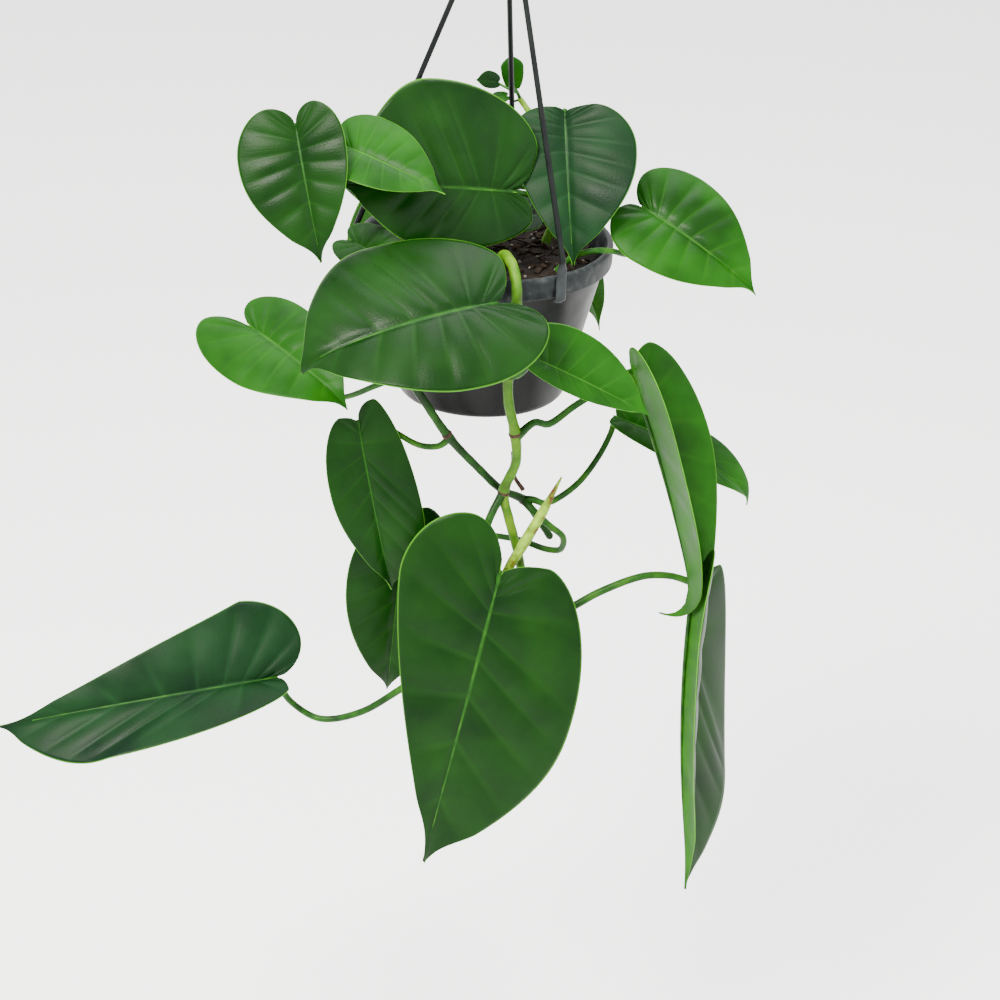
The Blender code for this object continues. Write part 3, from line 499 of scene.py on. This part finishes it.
# Leaves. base = where the petiole joins, tip = drip tip, face = the way the upper side looks.
# Pairs are for the left and the right half, seen from above with the tip pointing away: half widths,
# lobes behind the base, folds up and curls down, wide = share of the length where it is widest,
# taper = fullness from there to the tip, opens = extra fold at the base. arch and hook bend the midrib.
leafShapes = {
    "leaf_top_left": dict(
        base=(-104, -49, -176), tip=(-89, -73, -241), face=(-0.1, -1, 0.45), arch=14, hook=20,
        halves=(25, 33), lobes=(11, 11), folds=(14, 14), curls=(10, 24), wide=(0.15, 0.2),
    ),
    "leaf_top_left_small": dict(
        base=(-79, -46, -186), tip=(-26, -68, -203), face=(-0.1, -0.75, 1), arch=10, hook=10,
        halves=(24, 18), lobes=(8, 7), folds=(6, 6), curls=(14, 10), wide=(0.15, 0.2),
    ),
    "leaf_top_centre": dict(
        base=(7, -23, -216), tip=(-83, -40, -209), face=(-0.08, -1, 0.5), arch=20, hook=6,
        halves=(33, 57), lobes=(14, 14), folds=(4, 12), curls=(20, 20), wide=(0.4, 0.45),
        taper=(2.2, 2.5),
    ),
    "leaf_top_right": dict(
        base=(35, 5, -180), tip=(42, -36, -252), face=(-0.2, -1, 0.55), arch=14, hook=8,
        halves=(38, 28), lobes=(2, 3), folds=(10, 14), curls=(20, 16), wide=(0.28, 0.12),
    ),
    "leaf_far_right": dict(
        base=(80, -11, -227), tip=(141, -34, -266), face=(0.1, -0.8, 0.8), arch=22, hook=30,
        halves=(34, 31), lobes=(12, 11), folds=(16, 16), curls=(36, 32), wide=(0.2, 0.15),
        taper=(1.8, 2.2),
    ),
    "leaf_front_upper": dict(
        base=(0, -97, -250), tip=(-97, -112, -286), face=(-0.15, -0.7, 1), arch=30, hook=40,
        halves=(47, 57), lobes=(23, 12), folds=(8, 8), curls=(24, 30), wide=(0.15, 0.42),
        taper=(2.2, 3.2),
    ),
    "leaf_left": dict(
        base=(-130, -28, -296), tip=(-75, -70, -325), face=(-0.2, -0.6, 1), arch=26, hook=50,
        halves=(26, 33), lobes=(15, 27), folds=(14, 14), curls=(26, 26), wide=(0.2, 0.15),
    ),
    "leaf_right_front": dict(
        base=(22, -92, -282), tip=(84, -92, -313), face=(0.1, -0.8, 0.7), arch=12, hook=10,
        halves=(24, 10), lobes=(10, 6), folds=(10, 10), curls=(16, 16), wide=(0.25, 0.3),
    ),
    "leaf_back_right": dict(
        base=(34, 78, -262), tip=(64, 66, -330), face=(0.5, 1, 0.5), arch=12, hook=16,
        halves=(27, 18), lobes=(13, 10), folds=(12, 12), curls=(24, 24), wide=(0.15, 0.2),
    ),
    "leaf_back_left": dict(
        base=(-48, 80, -258), tip=(-72, 84, -330), face=(-0.4, 1, 0.4), arch=16, hook=18,
        halves=(32, 32), lobes=(15, 15), folds=(12, 12), curls=(22, 22), wide=(0.15, 0.15),
    ),
    "leaf_right_folded": dict(
        base=(78, -35, -313), tip=(100, -39, -460), face=(0.88, -0.47, 0.2), arch=12, hook=110,
        halves=(30, 36), lobes=(13, 17), folds=(56, 50), curls=(20, 6), wide=(0.25, 0.15),
        taper=(1.8, 2.2),
    ),
    "leaf_right_behind": dict(
        base=(72, -14, -349), tip=(149, -9, -404), face=(0.2, -0.5, 1), arch=30, hook=50,
        halves=(18, 14), lobes=(3, 4), folds=(20, 12), curls=(30, 26), wide=(0.5, 0.35),
    ),
    "leaf_lowest_right": dict(
        base=(120, -46, -436), tip=(126, -60, -634), face=(1, -0.12, 0.1), arch=-14, hook=10,
        halves=(40, 34), lobes=(8, 27), folds=(42, 40), curls=(14, 60), wide=(0.62, 0.15),
    ),
    "leaf_front_lower": dict(
        base=(8, -82, -417), tip=(-30, -97, -595), face=(0.0, -1, 0.35), arch=12, hook=6,
        halves=(60, 54), lobes=(12, 32), folds=(6, 6), curls=(18, 14), wide=(0.38, 0.04),
        taper=(2.4, 1.3),
    ),
    "leaf_mid_left": dict(
        base=(-71, -52, -341), tip=(-51, -62, -437), face=(-0.15, -1, 0.3), arch=12, hook=12,
        halves=(27, 22), lobes=(13, 5), folds=(12, 22), curls=(20, 16), wide=(0.55, 0.3),
    ),
    "leaf_mid_left_behind": dict(
        base=(-47, -19, -423), tip=(-55, -22, -526), face=(0.1, -1, 0.25), arch=14, hook=24,
        halves=(30, 30), lobes=(16, 6), folds=(14, 14), curls=(30, 24), wide=(0.2, 0.3),
    ),
    "leaf_far_left": dict(
        base=(-119, -47, -505), tip=(-276, -66, -532), face=(0.1, -0.85, 0.6), arch=26, hook=10,
        halves=(33, 48), lobes=(6, 19), folds=(14, 14), curls=(20, 34), wide=(0.6, 0.08),
        taper=(2.2, 0.9), opens=(70, 0),
    ),
    "leaf_crown_left": dict(
        base=(-75, -36, -242), tip=(-38, -66, -254), face=(-0.1, -0.6, 1), arch=14, hook=10,
        halves=(16, 15), lobes=(9, 8), folds=(10, 10), curls=(16, 16), wide=(0.2, 0.2),
    ),
    "leaf_crown_shaded": dict(
        base=(14, 4, -237), tip=(-36, -10, -240), face=(0, -0.4, 1), arch=16, hook=10,
        halves=(18, 18), lobes=(10, 10), folds=(10, 10), curls=(16, 16), wide=(0.2, 0.2),
    ),
    "young_leaf_round": dict(
        base=(8, 63, -184), tip=(6, 65, -167), face=(0.1, -1, 0.3), arch=10, hook=6,
        halves=(6.5, 6.5), lobes=(2, 2), folds=(14, 14), curls=(20, 20), wide=(0.6, 0.6),
    ),
    "young_leaf_dark": dict(
        base=(-1, 58, -181), tip=(-13, 55, -179), face=(-0.2, -1, 0.6), arch=10, hook=6,
        halves=(4, 6), lobes=(1.5, 1.5), folds=(14, 14), curls=(16, 16), wide=(0.4, 0.4),
    ),
    "young_leaf_light": dict(
        base=(4, 56, -188), tip=(-5, 51, -189), face=(-0.2, -0.8, 1), arch=10, hook=6,
        halves=(4, 4), lobes=(2, 2), folds=(14, 14), curls=(16, 16), wide=(0.4, 0.4),
    ),
}

bladeShape = dict(thickness=0.45, columns=40, rows=72, lobeEnd=0.42, lobeShare=0.2, widestShare=0.45, narrowest=0.02)
bladeRelief = dict(veins=9, quilt=0.027, groove=1.1, grooveWidth=2.2, wave=0.02)
paleLeaves = ["leaf_left", "leaf_top_left_small", "leaf_far_right", "leaf_right_folded", "leaf_crown_left"]
paleLeaves += ["young_leaf_round", "young_leaf_light", "leaf_right_front", "leaf_right_behind"]
# leaves that lie in shade get the darker skin, with their shade painted into its colour
paintedShadeLeaves = ["leaf_top_right", "leaf_far_left", "leaf_crown_shaded"]


def smoothStep(low, high, value):
    t = min(max((value - low) / (high - low), 0), 1)
    return t * t * (3 - 2 * t)


def heartEdge(leaf, side, share, length):
    # half width and place along the midrib of one half's edge, from the notch at 0 to the tip at 1
    s = bladeShape
    half, lobe, widest = leaf["halves"][side], leaf["lobes"][side], leaf["wide"][side] * length
    if share < s["lobeShare"]:
        run = share / s["lobeShare"]
        out = s["lobeEnd"] * (0.35 * run + 0.65 * (1 - cos(run * pi / 2)))
        along = -lobe * (0.2 + 0.8 * sin(run * pi / 2))
    elif share < s["widestShare"]:
        turn = (share - s["lobeShare"]) / (s["widestShare"] - s["lobeShare"]) * pi / 2
        out = s["lobeEnd"] + (1 - s["lobeEnd"]) * sin(turn) ** (1 + 0.6 * leaf["wide"][side])
        along = widest - (widest + lobe) * cos(turn)
    else:
        run = (share - s["widestShare"]) / (1 - s["widestShare"])
        fullness = leaf.get("taper", (2.2, 2.2))[side]
        out = (1 - run**fullness) * (1 - 0.45 * run**3) * (1 - 0.45 * smoothStep(0.74, 0.94, run))
        along = widest + (length - widest) * run
    return half * max(out, s["narrowest"] * (1 if share < 0.5 else 0.6)), along


def spineCurve(leaf, length, steps=96):
    # the midrib's side view: place along the chord, height and slope at each step
    arch, hook = radians(leaf["arch"]), radians(leaf["hook"])
    places, slopes = [Vector((0, 0))], []
    for i in range(steps + 1):
        share = i / steps
        slopes.append(arch * (0.5 - share) - hook * max(0.0, share - 0.7) ** 2 / 0.09)
        if i:
            slope = (slopes[i] + slopes[i - 1]) / 2
            places.append(places[-1] + Vector((cos(slope), sin(slope))) / steps)
    end = places[-1]
    size, lean = length / end.length, Vector((1, 0)).angle_signed(end)
    ahead = end.normalized()
    return [(p.dot(ahead) * size, (p.y * ahead.x - p.x * ahead.y) * size, s + lean) for p, s in zip(places, slopes)]


def spineAt(spine, share, length):
    if share <= 0:
        x, z, slope = spine[0]
        return x + share * length * cos(slope), z + share * length * sin(slope), slope
    place = min(share, 1) * (len(spine) - 1)
    i = min(int(place), len(spine) - 2)
    return tuple(a + (b - a) * (place - i) for a, b in zip(spine[i], spine[i + 1]))


def leafFrame(leaf):
    base, chord = Vector(leaf["base"]), Vector(leaf["tip"]) - Vector(leaf["base"])
    ahead, face = chord.normalized(), Vector(leaf["face"])
    up = (face - face.dot(ahead) * ahead).normalized()
    return base, chord.length, ahead, up, ahead.cross(up)


def bladePoint(leaf, u, v, relief=True):
    # where the blade is at u across (-1 to 1) and v along (notch 0, tip 1)
    base, length, ahead, up, right = leaf["placing"]
    side, reach = (0 if u < 0 else 1), abs(u)
    half = leaf["halves"][side]
    outEdge, alongEdge = heartEdge(leaf, side, v, length)
    midrib = (0.25 * v + 0.75 * v**3) * length
    along = midrib + (alongEdge - midrib) * reach
    x, z, slope = spineAt(leaf["spine"], along / length, length)
    fold = radians(leaf["folds"][side] + leaf.get("opens", (0, 0))[side] * (1 - v) ** 2)
    curl = radians(leaf["curls"][side])
    out = reach * outEdge / half
    across = half * (sin(fold) - sin(fold - curl * out)) / curl
    lift = half * (cos(fold - curl * out) - cos(fold)) / curl
    if relief:
        s, size = bladeRelief, (leaf["halves"][0] + leaf["halves"][1]) / 2
        swell = abs(sin(pi * s["veins"] * v)) ** 0.8 - 0.5
        swell *= sin(pi * min(reach, 1)) ** 0.7 * smoothStep(0.0, 0.12, v) * smoothStep(1, 0.85, v)
        lift += s["quilt"] * size * swell
        lift -= min(s["groove"], 0.03 * size) * exp(-((out * half / s["grooveWidth"]) ** 2))
        lift += s["wave"] * size * sin(tau * 2.3 * v + leaf["phase"] + side * 1.9) * reach**3
    place = base + ahead * (x - lift * sin(slope)) + up * (z + lift * cos(slope))
    return place + right * (across if side else -across)


def makeBlade(name, leaf):
    s = bladeShape
    young = name.startswith("young")
    columns, rows = (12, 20) if young else (s["columns"], s["rows"])
    bm = bmesh.new()
    bmesh.ops.create_grid(bm, x_segments=columns, y_segments=rows, size=1)
    layer = bm.loops.layers.uv.new("bladeMap")
    for face in bm.faces:
        for loop in face.loops:
            loop[layer].uv = ((loop.vert.co.x + 1) / 2, (loop.vert.co.y + 1) / 2)
    for vert in bm.verts:
        vert.co = bladePoint(leaf, vert.co.x, (vert.co.y + 1) / 2, relief=not young)
    skin = "youngLeafSkin" if name in paleLeaves else "paintedShadeLeafSkin" if name in paintedShadeLeaves else "matureLeafSkin"
    mesh = meshFrom(f"{name}_blade", bm, sharp=None, recalculate=False)
    blade = addPiece(f"{name}_blade", mesh, [skins[skin], underside, leafMargin], [name])
    wall = blade.modifiers.new("thickness", "SOLIDIFY")
    wall.thickness = s["thickness"] * mm
    wall.offset = -1
    wall.material_offset = 1
    wall.material_offset_rim = 2


for name, leaf in leafShapes.items():
    leaf["placing"] = leafFrame(leaf)
    leaf["spine"] = spineCurve(leaf, leaf["placing"][1])
    leaf["phase"] = sum(leaf["base"]) * 0.37
    makeBlade(name, leaf)
print("leaves made")


# Vines: round stems that swell at each joint, where an old sheath has left a dark ring
vineRoutes = {
    "vine_main": dict(
        route=[
            (2, -32, -258), (5, -50, -242), (10, -70, -242), (12, -77.5, -252), (11, -77, -273),
            (9, -73, -298), (10, -70, -318), (14, -67, -337), (15, -65, -355), (9, -63, -374),
            (12, -62, -389), (18, -60, -412), (24, -56, -444), (27, -54, -461),
        ],
        radius=(2.9, 2.5),
    ),
    "vine_left": dict(
        route=[
            (-18, -36, -258), (-23, -52, -243), (-30, -70, -243), (-36, -75, -262), (-42, -71, -283),
            (-42, -65, -308), (-35, -62, -322), (-21, -60, -344), (-4, -57, -364), (8, -54, -377),
            (20, -47, -386), (29, -44, -399), (36, -42, -411),
        ],
        radius=(2.5, 2.1),
    ),
    "vine_crown_left": dict(
        route=[(-34, 8, -258), (-38, 0, -248), (-46, -14, -240), (-54, -24, -236)],
        radius=(2.6, 2.0),
    ),
    "vine_crown_right": dict(
        route=[(28, 14, -258), (32, 18, -246), (30, 28, -230), (25, 40, -210), (18, 51, -197), (12, 57, -190)],
        radius=(2.6, 1.6),
    ),
    "vine_back": dict(
        route=[(6, 36, -258), (4, 52, -243), (2, 70, -240), (0, 78, -254), (-2, 78, -282), (-4, 78, -300)],
        radius=(2.6, 2.2),
    ),
}

vineLook = dict(step=2.5, swell=0.22, swellLength=5, ring=0.25, ringLength=1.0)
vineJoints = {
    "vine_main": [(12, -77, -262), (9, -73, -300), (14, -67, -337), (9, -63, -374), (26, -55, -456)],
    "vine_left": [(-42, -69, -296), (-22, -60, -343), (20, -47, -386)],
}


def makeVine(name, vine):
    s = vineLook
    route = smoothRoute(vine["route"], s["step"])
    joints = [Vector(p) for p in vineJoints.get(name, [])]
    radii = []
    for i, place in enumerate(route):
        share = i / (len(route) - 1)
        near = min([(place - joint).length for joint in joints] + [99])
        swell = s["swell"] * exp(-((near / s["swellLength"]) ** 2))
        radii.append((vine["radius"][0] * (1 - share) + vine["radius"][1] * share) * (1 + swell + 0.03 * sin(i * 1.7)))
    route.append(route[-1] + (route[-1] - route[-2]).normalized() * 1.2)
    radii.append(radii[-1] * 0.6)
    roundStem(f"{name}_stem", route, radii, [darkVineSkin if name == "vine_left" else vineSkin], [name])
    for k, joint in enumerate(joints):
        i = min(range(1, len(route) - 2), key=lambda n: (route[n] - joint).length)
        ahead = (route[i + 1] - route[i - 1]).normalized()
        radius = radii[i] + s["ring"]
        steps = ((-1, 0.93), (-0.4, 1), (0.4, 1), (1, 0.93))
        stations = [(route[i] + ahead * t * s["ringLength"], radius * w, radius * w) for t, w in steps]
        bm = sweep(stations, ahead.orthogonal(), 20)
        addPiece(f"{name}_ring_{k}", meshFrom("ring", bm), [rootCork], None)


for name, vine in vineRoutes.items():
    makeVine(name, vine)


# Petioles: each leaves its vine, swells a little at both ends and runs on under the blade as its midrib
petioleRoutes = {
    "petiole_top_left": dict(
        route=[(-54, -24, -236), (-66, -31, -225), (-84, -36, -206), (-98, -39, -188)],
        radius=(1.6, 1.3),
    ),
    "petiole_top_left_small": dict(
        route=[(-46, -14, -240), (-52, -8, -222), (-66, -12, -204), (-80, -24, -192), (-85, -38, -188)],
        radius=(1.5, 1.2),
    ),
    "petiole_top_centre": dict(
        route=[(32, 18, -246), (40, 6, -237), (34, -8, -228), (22, -14, -222), (14, -17, -219)],
        radius=(1.8, 1.5),
    ),
    "petiole_top_right": dict(
        route=[(30, 28, -230), (36, 26, -214), (39, 20, -196), (37, 11, -185)],
        radius=(1.7, 1.4),
    ),
    "petiole_far_right": dict(
        route=[
            (34, -26, -259), (42, -28, -250), (52, -29, -246), (62, -28, -246), (72, -19, -251),
            (80, -9, -250), (83, -5, -240),
        ],
        radius=(1.7, 1.4),
    ),
    "petiole_front_upper": dict(
        route=[(11, -76, -276), (10, -86, -272), (6, -93, -264)],
        radius=(2.0, 1.7),
    ),
    "petiole_left": dict(
        route=[(-42, -67, -302), (-60, -60, -314), (-84, -42, -330), (-110, -24, -326), (-126, -20, -308)],
        radius=(1.7, 1.4),
    ),
    "petiole_right_front": dict(
        route=[(9, -72, -302), (14, -79, -298), (18, -84, -292)],
        radius=(1.6, 1.4),
    ),
    "petiole_back_right": dict(
        route=[(0, 78, -256), (12, 78, -248), (28, 72, -250), (38, 72, -256)],
        radius=(1.6, 1.3),
    ),
    "petiole_back_left": dict(
        route=[(-1, 78, -268), (-14, 80, -256), (-32, 74, -252), (-44, 74, -254)],
        radius=(1.7, 1.4),
    ),
    "petiole_right_folded": dict(
        route=[
            (15, -67, -339), (24, -65, -331), (32, -62, -333), (45, -52, -327), (60, -43, -320),
            (70, -37, -315),
        ],
        radius=(2.1, 1.7),
    ),
    "petiole_right_behind": dict(
        route=[
            (20, -47, -386), (26, -49, -385), (32, -47, -388), (41, -40, -387), (52, -33, -380),
            (62, -25, -368), (68, -19, -357),
        ],
        radius=(1.9, 1.6),
    ),
    "petiole_lowest_right": dict(
        route=[
            (27, -54, -461), (46, -53, -452), (65, -50, -441), (88, -47, -432), (104, -45, -432),
        ],
        radius=(2.4, 1.9),
    ),
    "petiole_front_lower": dict(
        route=[(9, -63, -374), (3, -69, -384), (0, -73, -394), (3, -75, -406)],
        radius=(2.3, 2.0),
    ),
    "petiole_mid_left": dict(
        route=[
            (-21, -60, -344), (-27, -60, -349), (-38, -57, -350), (-52, -51, -345), (-64, -48, -341),
        ],
        radius=(1.8, 1.5),
    ),
    "petiole_mid_left_behind": dict(
        route=[
            (20, -47, -386), (27, -53, -391), (35, -52, -399), (43, -48, -408), (42, -42, -419),
            (34, -38, -421), (20, -34, -418), (4, -27, -419), (-12, -15, -422), (-34, -10, -424),
        ],
        radius=(2.0, 1.5),
    ),
    "petiole_far_left": dict(
        route=[
            (27, -54, -461), (2, -52, -472), (-24, -51, -490), (-47, -50, -509), (-69, -49, -525),
            (-92, -46, -532), (-109, -42, -524),
        ],
        radius=(2.4, 1.8),
    ),
    "petiole_crown_left": dict(
        route=[(-46, -14, -240), (-54, -22, -245), (-66, -30, -246)],
        radius=(1.3, 1.1),
    ),
    "petiole_crown_shaded": dict(
        route=[(32, 18, -246), (26, 12, -244), (20, 7, -242)],
        radius=(1.3, 1.1),
    ),
    "petiole_young_round": dict(
        route=[(12, 57, -190), (10, 62, -187)],
        radius=(1.0, 0.8),
    ),
    "petiole_young_dark": dict(
        route=[(12, 57, -190), (10, 56, -186), (5, 57, -184)],
        radius=(0.8, 0.7),
    ),
    "petiole_young_light": dict(
        route=[(12, 57, -190), (9, 57, -191)],
        radius=(0.7, 0.6),
    ),
}

petioleLook = dict(step=2.5, ribStart=0.8, ribEnd=0.25, ribReach=0.86)


def makePetiole(name, petiole):
    leafName = name.replace("petiole_young", "young_leaf").replace("petiole", "leaf")
    leaf = leafShapes[leafName]
    base, length, ahead, up, _ = leaf["placing"]
    s, (startRadius, endRadius) = petioleLook, petiole["radius"]
    joining = base - up * (endRadius + 0.5) - ahead * 0.5
    route = smoothRoute(petiole["route"] + [joining], s["step"])
    count = len(route)
    radii = []
    for i in range(count):
        share = i / (count - 1)
        swell = 0.18 * smoothStep(0.15, 0, share) + 0.15 * smoothStep(0.88, 1, share)
        radii.append((startRadius + (endRadius - startRadius) * share) * (1 + swell))
    ribSteps = 5 if leafName.startswith("young") else 16
    for i in range(1, ribSteps + 1):
        share = s["ribReach"] * i / ribSteps
        x, z, slope = spineAt(leaf["spine"], share, length)
        radius = endRadius * s["ribStart"] * (1 - share) + s["ribEnd"] * share
        sink = radius + min(bladeRelief["groove"], 0.5) + 0.25
        route.append(base + ahead * (x + sink * sin(slope)) + up * (z - sink * cos(slope)))
        radii.append(radius)
    roundStem(f"{name}_stalk", route, radii, [petioleSkin], [name], resolution=4)


for name, petiole in petioleRoutes.items():
    makePetiole(name, petiole)
print("vines and petioles made")


# A leaf still rolled in its sheath, wound like a spill, and an aerial root
spillShape = dict(
    route=[(11, -73, -420), (19, -72, -404), (32, -69, -379), (40, -67, -362)], radii=(2.2, 3.1, 2.6, 0.5)
)
rootShape = dict(route=[(20, -43, -382), (15, -43, -374), (13, -43, -359)], radius=(1.3, 0.6))


def makeSpill():
    route = smoothRoute(spillShape["route"], 1.5)
    profile = spillShape["radii"]
    stations = []
    for i, place in enumerate(route):
        share = i / (len(route) - 1) * (len(profile) - 1)
        k = min(int(share), len(profile) - 2)
        radius = profile[k] + (profile[k + 1] - profile[k]) * (share - k)
        stations.append((place, radius, radius))
    bm = sweep(stations, Vector((0, 0, 1)), 28)
    ahead = (route[-1] - route[0]).normalized()
    for vert in bm.verts:
        # the wound edge stands proud along a slow spiral
        along = (vert.co - route[0]).dot(ahead)
        nearest = min(route, key=lambda p: (p - vert.co).length)
        out = vert.co - nearest
        if out.length > 0.2:
            across = ahead.orthogonal()
            angle = out.angle(across) if out.dot(ahead.cross(across)) > 0 else -out.angle(across)
            turn = (pi + angle + along * 0.09) % tau
            vert.co = nearest + out * (0.88 + 0.22 * turn / tau)
    mesh = meshFrom("rolled_leaf_spill", bm, sharp=50)
    addPiece("rolled_leaf_spill", mesh, [sheathSkin], ["rolled_leaf"])


makeSpill()
route = smoothRoute(rootShape["route"], 1.5)
thick, thin = rootShape["radius"]
radii = [thick + (thin - thick) * i / (len(route) - 1) for i in range(len(route))]
roundStem("aerial_root_stub", route, radii, [rootCork], ["aerial_root"])
print("rolled leaf and aerial root made")

bpy.context.view_layer.update()
